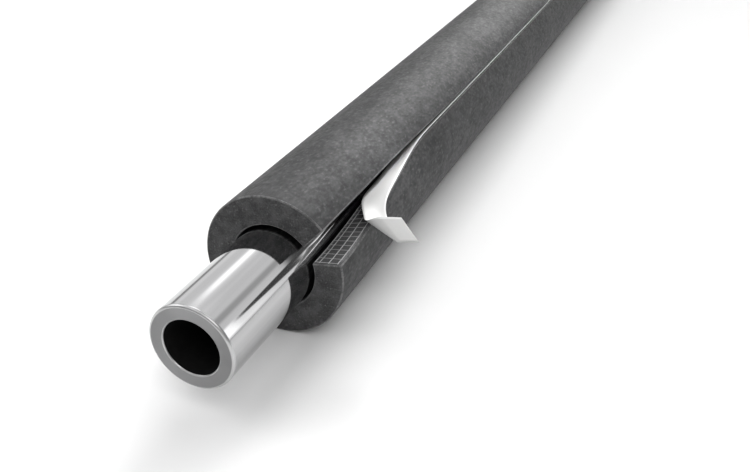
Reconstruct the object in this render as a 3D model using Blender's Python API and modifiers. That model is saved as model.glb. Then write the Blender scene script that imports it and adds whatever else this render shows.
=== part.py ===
# Pipe insulation lagging: a slit foam tube with its adhesive strip and release liner, fitted on a steel pipe.
# Metres, +Z up, +Y along the pipe. The origin is on the lagging's underside, halfway along it.
import math

import bmesh
import bpy
from mathutils import Matrix, Vector

MM = 0.001

# Lagging: a standard size for a 35 mm pipe with a 13 mm wall, one metre long
LAGGING_LENGTH = 1000 * MM
FOAM_OUTER_R = 31 * MM
FOAM_BORE_R = 18.5 * MM
FOAM_SIDES = 48
CLEARANCE = 0.3 * MM

# Pipe: 35 mm across with a 6 mm wall, longer than the lagging at both ends
PIPE_OUTER_R = 17.5 * MM
PIPE_BORE_R = 11.5 * MM
PIPE_SIDES = 64
PIPE_STICKS_OUT = 58 * MM
PIPE_OUTER_CHAMFER = 1.0 * MM
PIPE_INNER_CHAMFER = 0.5 * MM
PIPE_SHIFT_X = -0.45 * MM
PIPE_SHIFT_Z = -0.49 * MM

# Slit: closed along most of the lagging, and pulled open at the near end
SLIT_ANGLE = math.radians(39.2)
CLOSED_HALF_GAP = 0.75 * MM
LOWER_FACE_ANGLE = math.radians(8.65)
LOWER_FACE_OFFSET = 2.69 * MM
LOWER_OPEN_LENGTH = 111 * MM
UPPER_FACE_ANGLE = math.radians(46.9)
UPPER_FACE_OFFSET = -2.38 * MM
UPPER_OPEN_START = 70 * MM
UPPER_OPEN_END = 145 * MM
SLIT_STEP = 4 * MM
SLIT_INNER = 15 * MM
SLIT_OUTER = 36 * MM

# Both strips have this many columns of faces across them
STRIP_COLUMNS = 6

# Adhesive strip on the slit's lower face
STRIP_INNER = 19.0 * MM
STRIP_OUTER = 30.4 * MM
STRIP_THICKNESS = 0.3 * MM
STRIP_END_MARGIN = 0.5 * MM

# Release liner over the adhesive, peeled from the near end
LINER_INNER = 19.0 * MM
LINER_OUTER = 31.6 * MM
LINER_THICKNESS = 0.3 * MM
LINER_LIFT = CLEARANCE + STRIP_THICKNESS + CLEARANCE
LINER_HALF_WIDTH = (LINER_OUTER - LINER_INNER) / 2
LINER_MIDDLE = (LINER_OUTER + LINER_INNER) / 2

# Free end of the liner: it lifts, leans and turns over a short way, then folds back on itself
PEEL_START = 73.7 * MM
PEEL_BLEND = 50 * MM
PEEL_AXIS_STEP = 1 * MM
SLANT_LENGTH = 45 * MM
FREE_LENGTH = 65.8 * MM
FREE_RISE = 0.6 * MM
FREE_STEPS = 40
FREE_LIFT = math.radians(-3.2)
FREE_ROLL = math.radians(-46.8)
FREE_YAW = math.radians(25.5)
FOLD_START = 49.5 * MM
FOLD_LENGTH = 8.4 * MM
FOLD_ANGLE = math.radians(172.5)
FOLD_LINE_START = math.radians(38.0)
FOLD_LINE_END = math.radians(71.7)
TAIL_BEND_PER_M = math.radians(17.1) / (30 * MM)

NEAR_END = -LAGGING_LENGTH / 2
FAR_END = LAGGING_LENGTH / 2
HALF_SIDE = math.pi / FOAM_SIDES
AXIS_HEIGHT = FOAM_OUTER_R * math.cos(HALF_SIDE)


# Collections, materials and small helpers

def clear_scene():
    for obj in list(bpy.data.objects):
        bpy.data.objects.remove(obj, do_unlink=True)


def new_collection(name):
    collection = bpy.data.collections.new(name)
    bpy.context.scene.collection.children.link(collection)
    return collection


def principled(name, colour, roughness, metallic=0.0):
    material = bpy.data.materials.new(name)
    material.use_nodes = True
    material.diffuse_color = (*colour, 1.0)
    shader = material.node_tree.nodes["Principled BSDF"]
    shader.inputs["Base Color"].default_value = (*colour, 1.0)
    shader.inputs["Roughness"].default_value = roughness
    shader.inputs["Metallic"].default_value = metallic
    return material


def new_object(name, collection, points, faces, edges=(), material=None):
    mesh = bpy.data.meshes.new(name)
    mesh.from_pydata([tuple(point) for point in points], list(edges), list(faces))
    mesh.update()
    obj = bpy.data.objects.new(name, mesh)
    collection.objects.link(obj)
    if material is not None:
        mesh.materials.append(material)
    return obj


def smooth_step(value):
    value = min(max(value, 0.0), 1.0)
    return value * value * (3 - 2 * value)


# Round stock: a closed profile, given as (radius, y) pairs, turned about the Y axis

def turned(name, collection, profile, sides, material, first_angle=0.0):
    points = []
    for radius, y in profile:
        points.append((radius * math.cos(first_angle), y, radius * math.sin(first_angle)))
    count = len(points)
    edges = [(i, (i + 1) % count) for i in range(count)]
    obj = new_object(name, collection, points, [], edges, material)
    screw = obj.modifiers.new("Turn", "SCREW")
    screw.axis = "Y"
    screw.angle = math.tau
    screw.steps = sides
    screw.render_steps = sides
    screw.use_merge_vertices = True
    screw.merge_threshold = 0.00001
    screw.use_smooth_shade = True
    return obj


# Slit: the straight line of each of its faces in the section at a distance y from the near end

def lower_face(y):
    opening = 1 - smooth_step(y / LOWER_OPEN_LENGTH)
    angle = SLIT_ANGLE + (LOWER_FACE_ANGLE - SLIT_ANGLE) * opening
    offset = -CLOSED_HALF_GAP + (LOWER_FACE_OFFSET + CLOSED_HALF_GAP) * opening
    return angle, offset


def upper_face(y):
    opening = 1 - smooth_step((y - UPPER_OPEN_START) / (UPPER_OPEN_END - UPPER_OPEN_START))
    angle = SLIT_ANGLE + (UPPER_FACE_ANGLE - SLIT_ANGLE) * opening
    offset = CLOSED_HALF_GAP + (UPPER_FACE_OFFSET - CLOSED_HALF_GAP) * opening
    return angle, offset


def face_point(face, y, distance, lift=0.0):
    angle, offset = face(y)
    height = offset + lift
    x = distance * math.cos(angle) - height * math.sin(angle)
    z = distance * math.sin(angle) + height * math.cos(angle)
    return Vector((x, NEAR_END + y, z))


def slit_stations(start, end):
    """Distances from the near end, close together where the slit opens."""
    stations = [start]
    y = start + SLIT_STEP
    while y < UPPER_OPEN_END:
        stations.append(y)
        y += SLIT_STEP
    return stations + [UPPER_OPEN_END, end]


def slit_cutter(collection):
    points = []
    faces = []
    stations = slit_stations(-SLIT_STEP, LAGGING_LENGTH + SLIT_STEP)
    for y in stations:
        points.append(face_point(lower_face, y, SLIT_INNER))
        points.append(face_point(lower_face, y, SLIT_OUTER))
        points.append(face_point(upper_face, y, SLIT_OUTER))
        points.append(face_point(upper_face, y, SLIT_INNER))
    for row in range(len(stations) - 1):
        a = row * 4
        b = a + 4
        for side in range(4):
            nxt = (side + 1) % 4
            faces.append((a + side, b + side, b + nxt, a + nxt))
    last = len(points) - 4
    faces.append((0, 1, 2, 3))
    faces.append((last + 3, last + 2, last + 1, last))
    cutter = new_object("slit_cutter", collection, points, faces)
    cutter.hide_render = True
    cutter.display_type = "WIRE"
    return cutter


# Foam tube: a turned tube with the slit cut out of it

def foam_tube(cutters):
    collection = new_collection("foam_tube")
    material = principled("foam", (0.06, 0.06, 0.062), 0.6)
    profile = [
        (FOAM_OUTER_R, FAR_END),
        (FOAM_OUTER_R, NEAR_END),
        (FOAM_BORE_R, NEAR_END),
        (FOAM_BORE_R, FAR_END),
    ]
    obj = turned("foam_tube", collection, profile, FOAM_SIDES, material, HALF_SIDE)
    obj.location.z = AXIS_HEIGHT
    cutter = slit_cutter(cutters)
    cutter.location.z = AXIS_HEIGHT
    cut = obj.modifiers.new("Slit", "BOOLEAN")
    cut.operation = "DIFFERENCE"
    cut.solver = "EXACT"
    cut.object = cutter
    return obj


# Pipe: a turned tube with chamfered ends

def steel_pipe():
    collection = new_collection("steel_pipe")
    material = principled("polished_steel", (0.46, 0.46, 0.465), 0.08, 1.0)
    near = NEAR_END - PIPE_STICKS_OUT
    far = FAR_END + PIPE_STICKS_OUT
    profile = [
        (PIPE_OUTER_R - PIPE_OUTER_CHAMFER, far),
        (PIPE_OUTER_R, far - PIPE_OUTER_CHAMFER),
        (PIPE_OUTER_R, near + PIPE_OUTER_CHAMFER),
        (PIPE_OUTER_R - PIPE_OUTER_CHAMFER, near),
        (PIPE_BORE_R + PIPE_INNER_CHAMFER, near),
        (PIPE_BORE_R, near + PIPE_INNER_CHAMFER),
        (PIPE_BORE_R, far - PIPE_INNER_CHAMFER),
        (PIPE_BORE_R + PIPE_INNER_CHAMFER, far),
    ]
    obj = turned("steel_pipe", collection, profile, PIPE_SIDES, material)
    obj.location = (PIPE_SHIFT_X, 0.0, AXIS_HEIGHT + PIPE_SHIFT_Z)
    return obj


# Thin strips: rows of points across the strip, thickened away from the face they lie on

def strip_row(y, slant, inner, outer, lift):
    """Points across a strip on the slit's lower face. Its inner edge is further back than its middle by slant."""
    row = []
    for k in range(STRIP_COLUMNS + 1):
        t = k / STRIP_COLUMNS
        row.append(face_point(lower_face, y + slant * (1 - 2 * t), inner + (outer - inner) * t, lift))
    return row


def strip_object(name, rows, thickness, side, material):
    collection = new_collection(name)
    across = len(rows[0])
    points = [point for row in rows for point in row]
    faces = []
    for row in range(len(rows) - 1):
        for column in range(across - 1):
            a = row * across + column
            b = a + across
            faces.append((a, a + 1, b + 1, b))
    obj = new_object(name, collection, points, faces, material=material)
    obj.location.z = AXIS_HEIGHT
    thicken = obj.modifiers.new("Thickness", "SOLIDIFY")
    thicken.thickness = thickness
    thicken.offset = side
    return obj


def adhesive_strip():
    material = principled("adhesive", (0.09, 0.09, 0.092), 0.3)
    rows = []
    for y in slit_stations(STRIP_END_MARGIN, LAGGING_LENGTH - STRIP_END_MARGIN):
        rows.append(strip_row(y, 0.0, STRIP_INNER, STRIP_OUTER, CLEARANCE))
    return strip_object("adhesive_strip", rows, STRIP_THICKNESS, 1.0, material)


# Release liner: from the far end to where it peels, then the free end

def lying_row(y, slant):
    return strip_row(y, slant, LINER_INNER, LINER_OUTER, LINER_LIFT)


def lying_rows():
    """Rows from the far end to the peel. They turn slanted before it, as the fold lines are."""
    full_slant = LINER_HALF_WIDTH / math.tan(FOLD_LINE_START)
    rows = []
    for y in reversed(slit_stations(PEEL_START, LAGGING_LENGTH - STRIP_END_MARGIN)):
        slant = full_slant * (1 - smooth_step((y - PEEL_START) / SLANT_LENGTH))
        rows.append(lying_row(y, slant))
    rows.pop()
    return rows


def peel_axes():
    """Axes of the strip where it peels: along it, across it, and away from the adhesive."""
    ahead = face_point(lower_face, PEEL_START - PEEL_AXIS_STEP, LINER_MIDDLE, LINER_LIFT)
    behind = face_point(lower_face, PEEL_START + PEEL_AXIS_STEP, LINER_MIDDLE, LINER_LIFT)
    along = (ahead - behind).normalized()
    angle = lower_face(PEEL_START)[0]
    across = Vector((math.cos(angle), 0.0, math.sin(angle)))
    across = (across - along * across.dot(along)).normalized()
    return Matrix((along, across, along.cross(across))).transposed()


def free_rows():
    place = face_point(lower_face, PEEL_START, LINER_MIDDLE, LINER_LIFT)
    turn = peel_axes()
    step = FREE_LENGTH / FREE_STEPS
    rows = []
    for i in range(FREE_STEPS + 1):
        s = i * step
        way = min(max((s - FOLD_START) / FOLD_LENGTH, 0.0), 1.0)
        line_angle = FOLD_LINE_START + (FOLD_LINE_END - FOLD_LINE_START) * way
        line = Vector((math.cos(line_angle), math.sin(line_angle), 0.0))
        reach = turn @ (line * (LINER_HALF_WIDTH / math.sin(line_angle)))
        lying = lying_row(PEEL_START - s, LINER_HALF_WIDTH / math.tan(line_angle))
        raised = place + Vector((0.0, 0.0, FREE_RISE))
        free = [raised + reach * (2 * k / STRIP_COLUMNS - 1) for k in range(STRIP_COLUMNS + 1)]
        blend = smooth_step(s / PEEL_BLEND)
        rows.append([lying[k].lerp(free[k], blend) for k in range(STRIP_COLUMNS + 1)])
        ease = smooth_step((s + step) / FOLD_START) - smooth_step(s / FOLD_START)
        bend = smooth_step((s + step - FOLD_START) / FOLD_LENGTH)
        bend = FOLD_ANGLE * (bend - smooth_step((s - FOLD_START) / FOLD_LENGTH))
        bend += TAIL_BEND_PER_M * max(0.0, s + step - max(s, FOLD_START + FOLD_LENGTH))
        turn = turn @ Matrix.Rotation(-FREE_LIFT * ease, 3, (0, 1, 0))
        turn = turn @ Matrix.Rotation(FREE_ROLL * ease, 3, (1, 0, 0))
        turn = turn @ Matrix.Rotation(FREE_YAW * ease, 3, (0, 0, 1))
        turn = turn @ Matrix.Rotation(-bend, 3, line)
        place = place + turn @ Vector((step, 0, 0))
    return rows


def release_liner():
    material = principled("liner_paper", (0.76, 0.76, 0.75), 0.5)
    rows = lying_rows() + free_rows()
    return strip_object("release_liner", rows, LINER_THICKNESS, -1.0, material)


def main():
    clear_scene()
    cutters = new_collection("cutters")
    foam_tube(cutters)
    steel_pipe()
    adhesive_strip()
    release_liner()


main()
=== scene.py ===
import math

import bmesh
import bpy
from mathutils import Matrix, Vector


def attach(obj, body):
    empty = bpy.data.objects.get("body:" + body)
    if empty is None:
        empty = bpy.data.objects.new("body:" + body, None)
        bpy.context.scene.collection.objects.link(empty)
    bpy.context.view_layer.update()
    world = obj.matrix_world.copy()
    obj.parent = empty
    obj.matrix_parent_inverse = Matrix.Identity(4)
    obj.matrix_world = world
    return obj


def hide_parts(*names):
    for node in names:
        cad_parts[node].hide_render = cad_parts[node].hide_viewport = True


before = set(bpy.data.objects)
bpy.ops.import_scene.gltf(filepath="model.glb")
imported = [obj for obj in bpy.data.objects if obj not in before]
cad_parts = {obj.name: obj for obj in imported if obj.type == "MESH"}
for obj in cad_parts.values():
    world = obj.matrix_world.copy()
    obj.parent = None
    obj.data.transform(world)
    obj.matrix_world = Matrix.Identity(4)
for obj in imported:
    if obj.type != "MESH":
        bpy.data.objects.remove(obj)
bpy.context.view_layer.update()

# Foam pipe lagging on a steel pipe, lying along Y with its open end nearest the camera, at NEAR_END.

MM = 0.001
BODY = "root"

# Sizes, as in the part's source
LAGGING_LENGTH = 1000 * MM
NEAR_END = -LAGGING_LENGTH / 2
AXIS_HEIGHT = 31 * MM * math.cos(math.pi / 48)
FOAM_OUTER_R = AXIS_HEIGHT  # a true round, where the solid has 48 sides
PIPE_OUTER_R = 17.5 * MM
PIPE_BORE_R = 11.5 * MM
PIPE_STICKS_OUT = 58 * MM
PIPE_CENTRE = Vector((-0.45 * MM, 0.0, AXIS_HEIGHT - 0.49 * MM))
SLIT_ANGLE = math.radians(39.2)
CLOSED_HALF_GAP = 0.75 * MM
LOWER_FACE_ANGLE = math.radians(8.65)
LOWER_FACE_OFFSET = 2.69 * MM
LOWER_OPEN_LENGTH = 111 * MM
UPPER_FACE_ANGLE = math.radians(46.9)
UPPER_FACE_OFFSET = -2.38 * MM
UPPER_OPEN_START = 70 * MM
UPPER_OPEN_END = 145 * MM
STRIP_INNER = 19.0 * MM
STRIP_OUTER = 30.4 * MM
STRIP_END_MARGIN = 0.5 * MM
LINER_INNER = 19.0 * MM
LINER_OUTER = 31.6 * MM
LINER_THICKNESS = 0.16 * MM
FILM_LIFT = 0.03 * MM
FILM_THICKNESS = 0.22 * MM
LINER_LIFT = 0.6 * MM
LINER_HALF_WIDTH = (LINER_OUTER - LINER_INNER) / 2
LINER_MIDDLE = (LINER_OUTER + LINER_INNER) / 2
PEEL_START = 73.7 * MM
PEEL_BLEND = 50 * MM
SLANT_LENGTH = 45 * MM
FREE_LENGTH = 65.8 * MM
FREE_RISE = 0.6 * MM
FREE_LIFT = math.radians(-3.2)
FREE_ROLL = math.radians(-46.8)
FREE_YAW = math.radians(25.5)
FOLD_START = 49.5 * MM
FOLD_LENGTH = 8.4 * MM
FOLD_ANGLE = math.radians(172.5)
FOLD_LINE_START = math.radians(38.0)
FOLD_LINE_END = math.radians(71.7)
TAIL_BEND_PER_M = math.radians(17.1) / (30 * MM)

# Detail that only the visual model has: the foam
FOAM_COLUMNS = 132
WALL_ROWS = 6
SEEN_BORE_R = 18.3 * MM
EDGE_ROUND = 0.6 * MM
EDGE_SEGMENTS = 4
EDGE_ANGLE = math.radians(50)
SKIN_STRETCH = 0.55  # the skin's cells are drawn out along the tube

# The mesh in the adhesive
THREAD_RADIUS = 0.2 * MM
CROSS_THREAD_SHARE = 0.6
THREAD_PITCH = 3.4 * MM
THREAD_LINES = (19.15 * MM, 21.1 * MM, 25.1 * MM, 29.0 * MM)
FIRST_CROSS_THREAD = 1.2 * MM
CROSS_START = 19.0 * MM
CROSS_END = 29.5 * MM

# The pipe, and its rounded corners as radius beyond an edge and depth from the end, in millimetres
PIPE_SIDES = 224
END_ROUND = 1.06 * MM
BORE_CORNER = ((0.0, 4.0), (0.0, 0.9), (0.0, 0.6), (0.12, 0.28), (0.45, 0.0), (0.7, 0.0))
OUTER_CORNER = ((-1.3, 0.0), (-1.0, 0.0), (-0.62, 0.13), (-0.3, 0.33), (-0.1, 0.65), (0.0, 1.05), (0.0, 1.4))
ALMOST_NOTHING = 0.01 * MM

# Distances between sections, close together where the slit opens
FOAM_STEP = 5 * MM
STRIP_STEP = 3 * MM
LINER_STEP = 2.5 * MM
FAR_STEP = 30 * MM
STRIP_COLUMNS = 8
LINER_COLUMNS = 10
FREE_STEPS = 90


# Node helpers

class Nodes:
    """Short calls for building one node tree. Noise scales are per metre."""

    def __init__(self, tree):
        self.tree = tree

    def add(self, kind, links=(), **settings):
        node = self.tree.nodes.new(kind)
        for key, value in settings.items():
            setattr(node, key, value)
        for key, value in dict(links).items():
            self.put(node.inputs[key], value)
        return node

    def put(self, socket, value):
        if isinstance(value, bpy.types.NodeSocket):
            self.tree.links.new(value, socket)
        else:
            socket.default_value = value

    def maths(self, operation, a, b=0.0):
        node = self.tree.nodes.new("ShaderNodeMath")
        node.operation = operation
        self.put(node.inputs[0], a)
        self.put(node.inputs[1], b)
        return node.outputs[0]

    def weighted(self, first, *others):
        """Sum of values, each given with its weight."""
        total = self.maths("MULTIPLY", *first)
        for value, weight in others:
            total = self.maths("ADD", total, self.maths("MULTIPLY", value, weight))
        return total

    def ramp_between(self, value, low, high, out_low=0.0, out_high=1.0):
        node = self.tree.nodes.new("ShaderNodeMapRange")
        node.interpolation_type = "SMOOTHSTEP"
        self.put(node.inputs["Value"], value)
        self.put(node.inputs["From Min"], low)
        self.put(node.inputs["From Max"], high)
        self.put(node.inputs["To Min"], out_low)
        self.put(node.inputs["To Max"], out_high)
        return node.outputs["Result"]

    def mix(self, factor, a, b):
        node = self.tree.nodes.new("ShaderNodeMix")
        node.data_type = "FLOAT"
        self.put(node.inputs[0], factor)
        self.put(node.inputs[2], a)
        self.put(node.inputs[3], b)
        return node.outputs[0]

    def colours(self, factor, a, b):
        node = self.tree.nodes.new("ShaderNodeMix")
        node.data_type = "RGBA"
        self.put(node.inputs[0], factor)
        self.put(node.inputs[6], (*a, 1.0) if isinstance(a, tuple) else a)
        self.put(node.inputs[7], (*b, 1.0) if isinstance(b, tuple) else b)
        return node.outputs[2]

    def place(self, scale=(1, 1, 1), turn=(0, 0, 0)):
        where = self.add("ShaderNodeTexCoord").outputs["Object"]
        mapping = self.add("ShaderNodeMapping", {"Vector": where, "Scale": scale, "Rotation": turn})
        return mapping.outputs["Vector"]

    def noise(self, scale, detail=2.0, vector=None, rough=0.5):
        links = {"Scale": scale, "Detail": detail, "Roughness": rough}
        links["Vector"] = vector if vector is not None else self.place()
        return self.add("ShaderNodeTexNoise", links).outputs["Fac"]

    def bump(self, height, strength, distance, normal=None):
        links = {"Height": height, "Strength": strength, "Distance": distance}
        if normal is not None:
            links["Normal"] = normal
        return self.add("ShaderNodeBump", links).outputs["Normal"]


def new_material(name):
    material = bpy.data.materials.new(name)
    material.use_nodes = True
    nodes = Nodes(material.node_tree)
    shader = material.node_tree.nodes["Principled BSDF"]
    return material, nodes, shader


# Materials

def foam_skin():
    """Outer and bore skin: fine closed cells under a thin film, with faint handling marks."""
    material, n, shader = new_material("foam_skin")
    along = n.place((1.0, SKIN_STRETCH, 1.0))
    grain = n.noise(800.0, 2.0, along)
    mottle = n.noise(300.0, 3.0, along)
    specks = n.ramp_between(n.noise(800.0, 1.0, along), 0.6, 0.76)
    cloud = n.noise(38.0, 3.0)
    scuffs = n.noise(90.0, 4.0, n.place((1.0, 0.16, 1.0), (0.0, 0.35, 0.55)), 0.6)
    scuff = n.ramp_between(scuffs, 0.56, 0.78)
    tone = n.ramp_between(n.weighted((grain, 0.38), (mottle, 0.42), (cloud, 0.2)), 0.32, 0.68)
    base = n.colours(tone, (0.022, 0.022, 0.023), (0.058, 0.058, 0.059))
    base = n.colours(n.maths("MULTIPLY", specks, 0.32), base, (0.12, 0.12, 0.12))
    base = n.colours(n.maths("MULTIPLY", scuff, 0.14), base, (0.11, 0.11, 0.11))
    n.put(shader.inputs["Base Color"], base)
    n.put(shader.inputs["Roughness"], n.mix(tone, 0.64, 0.54))
    shader.inputs["Specular IOR Level"].default_value = 0.26
    fine = n.bump(grain, 0.35, 0.0003)
    n.put(shader.inputs["Normal"], n.bump(mottle, 0.2, 0.0006, fine))
    return material


def foam_cut():
    """Cut faces: rough open cells with lighter cell walls."""
    material, n, shader = new_material("foam_cut")
    cells = n.add("ShaderNodeTexVoronoi", {"Vector": n.place(), "Scale": 1150.0}, feature="F1")
    grain = n.noise(1400.0, 3.0, rough=0.65)
    cloud = n.noise(190.0, 3.0)
    specks = n.ramp_between(n.noise(800.0, 2.0), 0.56, 0.76)
    tone = n.ramp_between(n.weighted((grain, 0.5), (cloud, 0.5)), 0.36, 0.64)
    base = n.colours(tone, (0.04, 0.04, 0.041), (0.09, 0.09, 0.091))
    base = n.colours(n.maths("MULTIPLY", specks, 0.7), base, (0.16, 0.16, 0.16))
    n.put(shader.inputs["Base Color"], base)
    n.put(shader.inputs["Roughness"], n.mix(grain, 0.95, 0.8))
    shader.inputs["Specular IOR Level"].default_value = 0.2
    fine = n.bump(cells.outputs["Distance"], 0.5, 0.0004)
    n.put(shader.inputs["Normal"], n.bump(grain, 0.4, 0.0003, fine))
    return material


def foam_edge():
    """Rounded edges, painted lighter than the skin and the cut faces: a painted highlight where light catches
    the rounded rim.
    """
    material, n, shader = new_material("foam_edge")
    grain = n.noise(1200.0, 3.0, rough=0.6)
    rim_blotches = n.noise(200.0, 3.0)
    tone = n.ramp_between(n.weighted((grain, 0.5), (rim_blotches, 0.5)), 0.35, 0.65)
    # the lighter colour of the rounded edges is a painted highlight along the rim
    n.put(shader.inputs["Base Color"], n.colours(tone, (0.07, 0.07, 0.071), (0.2, 0.2, 0.2)))
    n.put(shader.inputs["Roughness"], n.mix(grain, 0.75, 0.6))
    shader.inputs["Specular IOR Level"].default_value = 0.3
    n.put(shader.inputs["Normal"], n.bump(grain, 0.4, 0.0003))
    return material


def polished_steel():
    """The pipe's outside, with faint lines and streaks along it from drawing and polishing."""
    material, n, shader = new_material("polished_steel")
    lines = n.noise(900.0, 2.0, n.place((1.0, 0.01, 1.0)))
    streaks = n.ramp_between(n.noise(190.0, 2.0, n.place((1.0, 0.004, 1.0))), 0.35, 0.65)
    n.put(shader.inputs["Base Color"], n.colours(streaks, (0.41, 0.41, 0.414), (0.475, 0.475, 0.479)))
    shader.inputs["Metallic"].default_value = 1.0
    n.put(shader.inputs["Roughness"], n.mix(lines, 0.03, 0.075))
    n.put(shader.inputs["Normal"], n.bump(lines, 0.02, 0.0001))
    return material


def cut_steel():
    """The pipe's sawn and faced ends: the same steel with faint rings from the tool."""
    material, n, shader = new_material("cut_steel")
    wave = {"Vector": n.place(), "Scale": 700.0, "Distortion": 1.5, "Detail": 2.0}
    rings = n.add("ShaderNodeTexWave", wave, wave_type="RINGS", rings_direction="Y").outputs["Fac"]
    cloud = n.noise(120.0, 2.0)
    n.put(shader.inputs["Base Color"], n.colours(cloud, (0.27, 0.27, 0.273), (0.33, 0.33, 0.333)))
    shader.inputs["Metallic"].default_value = 1.0
    n.put(shader.inputs["Roughness"], n.mix(rings, 0.46, 0.54))
    n.put(shader.inputs["Normal"], n.bump(rings, 0.03, 0.0001))
    shader.inputs["Anisotropic"].default_value = 0.85
    tangent = n.add("ShaderNodeTangent", direction_type="RADIAL", axis="Y")
    n.put(shader.inputs["Tangent"], tangent.outputs["Tangent"])
    return material


def rolled_steel():
    """The rounded edges between the pipe's ends and its sides."""
    material, n, shader = new_material("rolled_steel")
    cloud = n.noise(200.0, 3.0)
    n.put(shader.inputs["Base Color"], n.colours(cloud, (0.46, 0.46, 0.463), (0.54, 0.54, 0.543)))
    shader.inputs["Metallic"].default_value = 1.0
    n.put(shader.inputs["Roughness"], n.mix(cloud, 0.3, 0.38))
    n.put(shader.inputs["Normal"], n.bump(cloud, 0.03, 0.0001))
    return material


def bore_steel():
    """The pipe's inside: dark mill scale, painted near black as painted shade deep in the bore."""
    material, n, shader = new_material("bore_steel")
    scale = n.noise(300.0, 4.0)
    # near-black colour: dark mill scale together with painted shade inside the bore
    n.put(shader.inputs["Base Color"], n.colours(scale, (0.004, 0.004, 0.004), (0.012, 0.012, 0.012)))
    n.put(shader.inputs["Roughness"], n.mix(scale, 0.75, 0.95))
    shader.inputs["Specular IOR Level"].default_value = 0.05
    n.put(shader.inputs["Normal"], n.bump(scale, 0.3, 0.0002))
    return material


def adhesive_film():
    """Clear adhesive over the dark foam: glossy, slightly rippled and smeared."""
    material, n, shader = new_material("adhesive_film")
    ripple = n.noise(420.0, 2.0)
    smear = n.noise(90.0, 3.0)
    n.put(shader.inputs["Base Color"], n.colours(smear, (0.08, 0.08, 0.081), (0.125, 0.125, 0.127)))
    n.put(shader.inputs["Roughness"], n.mix(ripple, 0.05, 0.11))
    n.put(shader.inputs["Normal"], n.bump(ripple, 0.05, 0.0002))
    return material


def scrim_thread():
    """The pale thread of the reinforcing mesh."""
    material, n, shader = new_material("scrim_thread")
    fibre = n.noise(2600.0, 2.0)
    wear = n.noise(220.0, 2.0)
    tone = n.weighted((fibre, 0.5), (wear, 0.5))
    n.put(shader.inputs["Base Color"], n.colours(tone, (0.28, 0.28, 0.28), (0.6, 0.6, 0.6)))
    n.put(shader.inputs["Roughness"], n.mix(fibre, 0.4, 0.6))
    n.put(shader.inputs["Normal"], n.bump(fibre, 0.3, 0.0001))
    return material


def liner_paper(name, low, high):
    """One side of the release paper, between a darker and a lighter white."""
    material, n, shader = new_material(name)
    fibre = n.noise(700.0, 4.0)
    cloud = n.noise(60.0, 2.0)
    tone = n.weighted((fibre, 0.4), (cloud, 0.6))
    n.put(shader.inputs["Base Color"], n.colours(tone, (low, low, low * 0.99), (high, high, high * 0.99)))
    n.put(shader.inputs["Roughness"], n.mix(fibre, 0.42, 0.55))
    n.put(shader.inputs["Normal"], n.bump(fibre, 0.06, 0.0001))
    return material


def pale_floor():
    material, n, shader = new_material("pale_floor")
    cloud = n.noise(6.0, 2.0)
    n.put(shader.inputs["Base Color"], n.colours(cloud, (0.93, 0.93, 0.93), (0.95, 0.95, 0.95)))
    n.put(shader.inputs["Roughness"], n.mix(cloud, 0.9, 0.95))
    shader.inputs["Specular IOR Level"].default_value = 0.0
    return material


# Geometry helpers

def smooth_step(value):
    value = min(max(value, 0.0), 1.0)
    return value * value * (3 - 2 * value)


def new_object(name, data):
    obj = bpy.data.objects.new(name, data)
    bpy.context.scene.collection.objects.link(obj)
    return obj


def new_piece(name, data, node=None):
    """A piece of the lagging, in place of a node of the frame where it has one."""
    obj = new_object(name, data)
    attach(obj, BODY)
    if node is not None:
        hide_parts(node)
    return obj


def smooth_mesh(name, points, faces, materials, indices=None):
    mesh = bpy.data.meshes.new(name)
    mesh.from_pydata([tuple(p) for p in points], [], faces)
    for material in materials:
        mesh.materials.append(material)
    if indices is not None:
        mesh.polygons.foreach_set("material_index", indices)
    mesh.polygons.foreach_set("use_smooth", [True] * len(mesh.polygons))
    mesh.update()
    return mesh


def lower_face(y):
    """The slit's lower face at a distance from the near end: its angle, and its offset from the axis."""
    opening = 1 - smooth_step(y / LOWER_OPEN_LENGTH)
    angle = SLIT_ANGLE + (LOWER_FACE_ANGLE - SLIT_ANGLE) * opening
    return angle, -CLOSED_HALF_GAP + (LOWER_FACE_OFFSET + CLOSED_HALF_GAP) * opening


def upper_face(y):
    opening = 1 - smooth_step((y - UPPER_OPEN_START) / (UPPER_OPEN_END - UPPER_OPEN_START))
    angle = SLIT_ANGLE + (UPPER_FACE_ANGLE - SLIT_ANGLE) * opening
    return angle, CLOSED_HALF_GAP + (UPPER_FACE_OFFSET - CLOSED_HALF_GAP) * opening


def face_point(face, y, distance, lift=0.0):
    """Point on or over a face of the slit, by its distance from the axis."""
    angle, offset = face(y)
    height = offset + lift
    x = distance * math.cos(angle) - height * math.sin(angle)
    z = distance * math.sin(angle) + height * math.cos(angle)
    return Vector((x, NEAR_END + y, AXIS_HEIGHT + z))


def stations(start, end, step):
    """Distances of sections from the near end."""
    found = [start]
    while found[-1] + step < UPPER_OPEN_END:
        found.append(found[-1] + step)
    count = max(2, round((end - found[-1]) / FAR_STEP))
    first = found[-1]
    return found + [first + (end - first) * (i + 1) / count for i in range(count)]


# Foam tube

def lip_angle(face, y, radius):
    angle, offset = face(y)
    return angle + math.asin(offset / radius)


def wall_grid(y):
    """Points of the wall in one section: rows from the outer skin to the bore, each from lip to lip."""
    rows = []
    for row in range(WALL_ROWS + 1):
        radius = FOAM_OUTER_R + (SEEN_BORE_R - FOAM_OUTER_R) * row / WALL_ROWS
        first = lip_angle(upper_face, y, radius)
        last = lip_angle(lower_face, y, radius) + math.tau
        points = []
        for column in range(FOAM_COLUMNS + 1):
            angle = first + (last - first) * column / FOAM_COLUMNS
            height = AXIS_HEIGHT + radius * math.sin(angle)
            points.append(Vector((radius * math.cos(angle), NEAR_END + y, height)))
        rows.append(points)
    return rows


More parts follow.
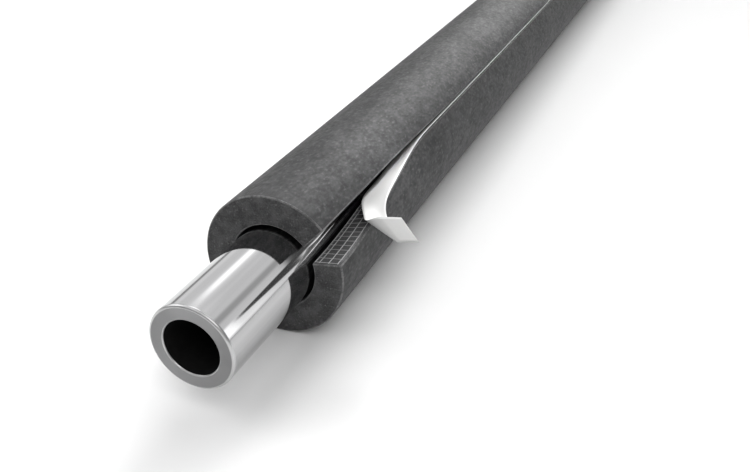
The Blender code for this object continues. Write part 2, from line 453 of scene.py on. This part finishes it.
def foam_tube():
    ys = stations(0.0, LAGGING_LENGTH, FOAM_STEP)
    mesh = bmesh.new()
    grids = []
    for i, y in enumerate(ys):
        grid = wall_grid(y)
        whole = i in (0, len(ys) - 1)
        placed = {}
        for row in range(WALL_ROWS + 1):
            for column in range(FOAM_COLUMNS + 1):
                if whole or row in (0, WALL_ROWS) or column in (0, FOAM_COLUMNS):
                    placed[row, column] = mesh.verts.new(grid[row][column])
        grids.append(placed)
    skin, cut, edge = range(3)

    def face(corners, index):
        made = mesh.faces.new(corners)
        made.material_index = index
        made.smooth = True

    for a, b in zip(grids, grids[1:]):
        for column in range(FOAM_COLUMNS):
            for row in (0, WALL_ROWS):
                face((a[row, column], a[row, column + 1], b[row, column + 1], b[row, column]), skin)
        for row in range(WALL_ROWS):
            for column in (0, FOAM_COLUMNS):
                face((a[row, column], a[row + 1, column], b[row + 1, column], b[row, column]), cut)
    for grid in (grids[0], grids[-1]):
        for row in range(WALL_ROWS):
            for column in range(FOAM_COLUMNS):
                corners = ((row, column), (row, column + 1), (row + 1, column + 1), (row + 1, column))
                face([grid[corner] for corner in corners], cut)
    bmesh.ops.recalc_face_normals(mesh, faces=mesh.faces)
    data = bpy.data.meshes.new("lagging_foam")
    mesh.to_mesh(data)
    mesh.free()
    for material in (foam_skin(), foam_cut(), foam_edge()):
        data.materials.append(material)
    obj = new_piece("lagging_foam", data, "foam_tube")
    bevel = obj.modifiers.new("Edges", "BEVEL")
    bevel.width = EDGE_ROUND
    bevel.segments = EDGE_SEGMENTS
    bevel.material = edge
    bevel.limit_method = "ANGLE"
    bevel.angle_limit = EDGE_ANGLE
    bevel.harden_normals = True
    return obj


# Strips on the slit's lower face

def strip_row(y, slant, inner, outer, lift, columns):
    """Points across a strip on the lower face. A slant moves its inner end in and its outer end out."""
    row = []
    for k in range(columns + 1):
        t = k / columns
        row.append(face_point(lower_face, y + slant * (1 - 2 * t), inner + (outer - inner) * t, lift))
    return row


def strip_piece(name, rows, thickness, side, material, node):
    """A sheet through rows of points, thickened to one side of them."""
    across = len(rows[0])
    faces = []
    for row in range(len(rows) - 1):
        for column in range(across - 1):
            a = row * across + column
            b = a + across
            faces.append((a, a + 1, b + 1, b))
    mesh = smooth_mesh(name, [p for row in rows for p in row], faces, [material])
    obj = new_piece(name, mesh, node)
    thicken = obj.modifiers.new("Thickness", "SOLIDIFY")
    thicken.thickness = thickness
    thicken.offset = side
    return obj


def adhesive():
    rows = []
    for y in stations(STRIP_END_MARGIN, LAGGING_LENGTH - STRIP_END_MARGIN, STRIP_STEP):
        rows.append(strip_row(y, 0.0, STRIP_INNER, STRIP_OUTER, FILM_LIFT, STRIP_COLUMNS))
    film = adhesive_film()
    return strip_piece("adhesive_film", rows, FILM_THICKNESS, 1.0, film, "adhesive_strip")


def scrim():
    """The reinforcing mesh in the adhesive: threads along the strip and across it."""
    curve = bpy.data.curves.new("scrim_threads", "CURVE")
    curve.dimensions = "3D"
    curve.bevel_depth = THREAD_RADIUS
    curve.bevel_resolution = 1
    curve.use_fill_caps = True
    lift = FILM_LIFT + FILM_THICKNESS

    def thread(points, share=1.0):
        spline = curve.splines.new("POLY")
        spline.points.add(len(points) - 1)
        for place, point in zip(spline.points, points):
            place.co = (*point, 1.0)
            place.radius = share

    ys = stations(STRIP_END_MARGIN + THREAD_RADIUS, LAGGING_LENGTH - STRIP_END_MARGIN, STRIP_STEP)
    for distance in THREAD_LINES:
        thread([face_point(lower_face, y, distance, lift) for y in ys])
    y = FIRST_CROSS_THREAD
    while y < LAGGING_LENGTH - STRIP_END_MARGIN:
        ends = [face_point(lower_face, y, distance, lift) for distance in (CROSS_START, CROSS_END)]
        thread(ends, CROSS_THREAD_SHARE)
        y += THREAD_PITCH
    curve.materials.append(scrim_thread())
    return new_piece("scrim_threads", curve)


# Release liner

def lying_row(y, slant):
    return strip_row(y, slant, LINER_INNER, LINER_OUTER, LINER_LIFT, LINER_COLUMNS)


def lying_rows():
    """Rows from the far end to where the liner leaves the adhesive, on a line slanted as the fold is."""
    full_slant = LINER_HALF_WIDTH / math.tan(FOLD_LINE_START)
    rows = []
    for y in reversed(stations(PEEL_START, LAGGING_LENGTH - STRIP_END_MARGIN, LINER_STEP)):
        slant = full_slant * (1 - smooth_step((y - PEEL_START) / SLANT_LENGTH))
        rows.append(lying_row(y, slant))
    rows.pop()  # the free part starts with this row
    return rows


def peel_axes():
    """Axes along, across and away from the adhesive, where the liner leaves it."""
    ahead = face_point(lower_face, PEEL_START - 1 * MM, LINER_MIDDLE, LINER_LIFT)
    behind = face_point(lower_face, PEEL_START + 1 * MM, LINER_MIDDLE, LINER_LIFT)
    along = (ahead - behind).normalized()
    angle = lower_face(PEEL_START)[0]
    across = Vector((math.cos(angle), 0.0, math.sin(angle)))
    across = (across - along * across.dot(along)).normalized()
    return Matrix((along, across, along.cross(across))).transposed()


def free_rows():
    """Rows of the peeled part: it lifts and turns over a length, and then folds back on a slanting line."""
    place = face_point(lower_face, PEEL_START, LINER_MIDDLE, LINER_LIFT)
    turn = peel_axes()
    step = FREE_LENGTH / FREE_STEPS
    rows = []
    for i in range(FREE_STEPS + 1):
        s = i * step
        way = min(max((s - FOLD_START) / FOLD_LENGTH, 0.0), 1.0)
        line_angle = FOLD_LINE_START + (FOLD_LINE_END - FOLD_LINE_START) * way
        line = Vector((math.cos(line_angle), math.sin(line_angle), 0.0))
        reach = turn @ (line * (LINER_HALF_WIDTH / math.sin(line_angle)))
        lying = lying_row(PEEL_START - s, LINER_HALF_WIDTH / math.tan(line_angle))
        raised = place + Vector((0.0, 0.0, FREE_RISE))
        free = [raised + reach * (2 * k / LINER_COLUMNS - 1) for k in range(LINER_COLUMNS + 1)]
        blend = smooth_step(s / PEEL_BLEND)
        rows.append([lying[k].lerp(free[k], blend) for k in range(LINER_COLUMNS + 1)])
        # this step's share of the turns before the fold, and of the fold
        ease = smooth_step((s + step) / FOLD_START) - smooth_step(s / FOLD_START)
        bend = smooth_step((s + step - FOLD_START) / FOLD_LENGTH)
        bend = FOLD_ANGLE * (bend - smooth_step((s - FOLD_START) / FOLD_LENGTH))
        bend += TAIL_BEND_PER_M * max(0.0, s + step - max(s, FOLD_START + FOLD_LENGTH))
        turn = turn @ Matrix.Rotation(-FREE_LIFT * ease, 3, (0, 1, 0))
        turn = turn @ Matrix.Rotation(FREE_ROLL * ease, 3, (1, 0, 0))
        turn = turn @ Matrix.Rotation(FREE_YAW * ease, 3, (0, 0, 1))
        turn = turn @ Matrix.Rotation(-bend, 3, line)
        place = place + turn @ Vector((step, 0, 0))
    return rows


def liner():
    rows = lying_rows() + free_rows()
    # the greyer side of the paper is painted shade for the part that folds back
    shaded_side = liner_paper("liner_shaded_side", 0.46, 0.54)
    obj = strip_piece("release_paper", rows, LINER_THICKNESS, -1.0, shaded_side, "release_liner")
    # the side that lay on the adhesive is painted greyer than the other, as painted shade where the
    # folded-back part shows it
    obj.data.materials.append(liner_paper("liner_paper", 0.79, 0.86))
    obj.modifiers["Thickness"].material_offset = 1
    return obj


# Pipe

def pipe_profile():
    """Points (radius, y) round the pipe's wall, from the near bore over the outside to the far bore."""
    near = NEAR_END - PIPE_STICKS_OUT
    half = []
    for edge, corner in ((PIPE_BORE_R, BORE_CORNER), (PIPE_OUTER_R, OUTER_CORNER)):
        half += [(edge + beyond * MM, near + depth * MM) for beyond, depth in corner]
    return half + [(radius, -y) for radius, y in reversed(half)]


def pipe():
    profile = pipe_profile()
    points = []
    for radius, y in profile:
        for i in range(PIPE_SIDES):
            angle = math.tau * i / PIPE_SIDES
            x = PIPE_CENTRE.x + radius * math.cos(angle)
            points.append((x, y, PIPE_CENTRE.z + radius * math.sin(angle)))
    faces = []
    indices = []
    polished, cut, bore, rolled = range(4)
    for row, (radius, y) in enumerate(profile):
        nxt = (row + 1) % len(profile)
        next_radius, next_y = profile[nxt]
        index = polished
        if max(radius, next_radius) < PIPE_BORE_R + ALMOST_NOTHING:
            index = bore
        elif abs(y - next_y) < ALMOST_NOTHING:
            index = cut
        elif min(abs(y), abs(next_y)) > LAGGING_LENGTH / 2 + PIPE_STICKS_OUT - END_ROUND:
            index = rolled
        here, there = row * PIPE_SIDES, nxt * PIPE_SIDES
        for i in range(PIPE_SIDES):
            j = (i + 1) % PIPE_SIDES
            faces.append((here + i, there + i, there + j, here + j))
            indices.append(index)
    materials = [polished_steel(), cut_steel(), bore_steel(), rolled_steel()]
    data = smooth_mesh("polished_pipe", points, faces, materials, indices)
    mesh = bmesh.new()
    mesh.from_mesh(data)
    bmesh.ops.recalc_face_normals(mesh, faces=mesh.faces)
    mesh.to_mesh(data)
    mesh.free()
    return new_piece("polished_pipe", data, "steel_pipe")


# Camera and floor. The camera was fitted to the photograph, with its focal length in pixels of that width.

PHOTO_WIDTH = 750
FOCAL_LENGTH = 862.485
SENSOR_WIDTH = 36.0
CAMERA_PLACE = (152.1 * MM, NEAR_END - 253.0 * MM, AXIS_HEIGHT + 182.7 * MM)
CAMERA_LOOKS_DOWN = 30.001
CAMERA_TURN = 23.084
FLOOR_REACH = 6.0


def camera():
    data = bpy.data.cameras.new("camera")
    data.sensor_width = SENSOR_WIDTH
    data.lens = FOCAL_LENGTH / PHOTO_WIDTH * SENSOR_WIDTH
    data.clip_start = 0.01
    obj = new_object("camera", data)
    obj.location = CAMERA_PLACE
    obj.rotation_euler = (math.radians(90 - CAMERA_LOOKS_DOWN), 0.0, math.radians(CAMERA_TURN))
    bpy.context.scene.camera = obj


def floor():
    mesh = bpy.data.meshes.new("floor")
    corners = [(x * FLOOR_REACH, y * FLOOR_REACH, 0) for x, y in ((-1, -1), (1, -1), (1, 1), (-1, 1))]
    mesh.from_pydata(corners, [], [(0, 1, 2, 3)])
    mesh.materials.append(pale_floor())
    new_object("floor", mesh)


# Light from all round

# Soft boxes and dark flags that the polished pipe mirrors, by angle round the +Y axis, from the right horizon
# upwards, and by angle away from it, in degrees. Each is low, high and softness of both, then brightness, and
# how far the low and high edges slant: degrees round the axis for each degree away from it past SLANT_FROM.
# The pipe mirrors all but the last two, which stand beyond the far end and give the foam its soft highlight.
STUDIO = (
    (-12, 192, 4, 36, 58, 5, 1.17, 0, 0),
    (43, 58, 5, 36, 58, 5, 0.66, 0, 0),
    (76, 98, 5, 47.5, 58, 1.5, 1.3, 0, 0),
    (106, 132, 6, 36, 58, 5, 1.4, 0, 0),
    (113, 126, 5, 36, 47.6, 1.6, 2.5, 0, 0),
    (2, 20, 4, 44.5, 58, 1.5, 1.6, 0, 0),
    (15, 25.5, 1.5, 36, 47.2, 0.5, 0.1, 2.2, -0.4),
    (4, 26, 4, 47.6, 58, 0.5, 2.4, 0, 0),
    (12, 42, 3, 30, 42.5, 0.4, 0.12, 0, 0),
    (-4, 19, 2.5, 36, 41.3, 0.5, 1.9, 0, 0),
    (171, 186, 3, 36, 58, 5, 0.45, 0, 0),
    (54, 88, 6, 16, 33, 3, 10.0, 0, 0),
    (82, 117, 6, 30, 39, 2, 25.0, 0, 0),
)
STUDIO_BASE = 0.3
SLANT_FROM = 45.0


def studio():
    world = bpy.data.worlds.new("studio")
    bpy.context.scene.world = world
    world.use_nodes = True
    n = Nodes(world.node_tree)
    direction = n.add("ShaderNodeTexCoord").outputs["Generated"]
    split = n.add("ShaderNodeSeparateXYZ", {"Vector": direction})
    x, y, z = (split.outputs[i] for i in range(3))
    # turned so that the break in the angle lies below the floor
    degrees = 180 / math.pi
    round_axis = n.maths("SUBTRACT", 90.0, n.maths("MULTIPLY", n.maths("ARCTAN2", x, z), degrees))
    away = n.maths("MULTIPLY", n.maths("ARCCOSINE", y), degrees)
    value = STUDIO_BASE
    beyond = n.maths("SUBTRACT", away, SLANT_FROM)

    def slanted(slant):
        return n.maths("SUBTRACT", round_axis, n.maths("MULTIPLY", beyond, slant)) if slant else round_axis

    def between(low, high, start, end, softness):
        rise = n.ramp_between(low, start - softness, start + softness)
        return rise, n.ramp_between(high, end - softness, end + softness, 1.0, 0.0)

    for b0, b1, soft_b, a0, a1, soft_a, brightness, slant0, slant1 in STUDIO:
        inside, *edges = between(slanted(slant0), slanted(slant1), b0, b1, soft_b)
        for edge in (*edges, *between(away, away, a0, a1, soft_a)):
            inside = n.maths("MULTIPLY", inside, edge)
        value = n.mix(inside, value, brightness)
    background = world.node_tree.nodes["Background"]
    background.inputs["Color"].default_value = (1.0, 1.0, 1.0, 1.0)
    n.put(background.inputs["Strength"], value)


# Lights in the room

# Soft lights, with their angles from +Y and round it in degrees, and their watts. The pipe's side mirrors
# none of them, only the boxes above.
LIGHTS = (
    ("key", 70, 108, 1.3),
    ("left_fill", 95, 142, 3.4),
    ("top_right", 74, 70, 0.7),
    ("front_right", 120, 60, 3.0),
    ("front_fill", 120, 106, 1.5),
)
LIGHTS_TARGET = Vector((0.0, NEAR_END + 40 * MM, 20 * MM))
LIGHT_DISTANCE = 1.1
LIGHT_SIZE = 0.6

# A small lamp for the release liner, which the upper lip would shade. It stands off its target at an angle
# round +Y, and lights the lagging and not the floor.
LINER_LAMP_TARGET = Vector((20.5 * MM, NEAR_END + 68 * MM, 44 * MM))
LINER_LAMP_ANGLE = math.radians(68)
LINER_LAMP_DISTANCE = 0.4
LINER_LAMP_WATTS = 6.0
LINER_LAMP_CONE = math.radians(6.4)
LINER_LAMP_BLEND = 0.8
LINER_LAMP_RADIUS = 0.015


def new_light(name, kind, watts, target, direction, distance):
    """A light that stands off its target in a direction and is turned to it."""
    data = bpy.data.lights.new(name, kind)
    data.energy = watts
    obj = new_object(name, data)
    obj.location = target + direction * distance
    obj.rotation_euler = (-direction).to_track_quat("-Z", "Y").to_euler()
    return obj


def soft_lights():
    for name, away, round_axis, watts in LIGHTS:
        away, round_axis = math.radians(away), math.radians(round_axis)
        sideways = math.sin(away) * math.cos(round_axis)
        direction = Vector((sideways, math.cos(away), math.sin(away) * math.sin(round_axis)))
        light = new_light(name, "AREA", watts, LIGHTS_TARGET, direction, LIGHT_DISTANCE)
        light.data.shape = "DISK"
        light.data.size = LIGHT_SIZE


def liner_lamp(pieces):
    direction = Vector((math.cos(LINER_LAMP_ANGLE), 0.0, math.sin(LINER_LAMP_ANGLE)))
    place = LINER_LAMP_TARGET, direction, LINER_LAMP_DISTANCE
    obj = new_light("liner_lamp", "SPOT", LINER_LAMP_WATTS, *place)
    obj.data.spot_size = LINER_LAMP_CONE
    obj.data.spot_blend = LINER_LAMP_BLEND
    obj.data.shadow_soft_size = LINER_LAMP_RADIUS
    obj.visible_glossy = False
    lit = bpy.data.collections.new("lit_by_liner_lamp")
    for piece in pieces:
        lit.objects.link(piece)
    obj.light_linking.receiver_collection = lit


lagging = [foam_tube(), adhesive(), scrim(), liner()]
pipe()
floor()
soft_lights()
liner_lamp(lagging)
studio()
camera()
bpy.context.scene.view_settings.view_transform = "Standard"
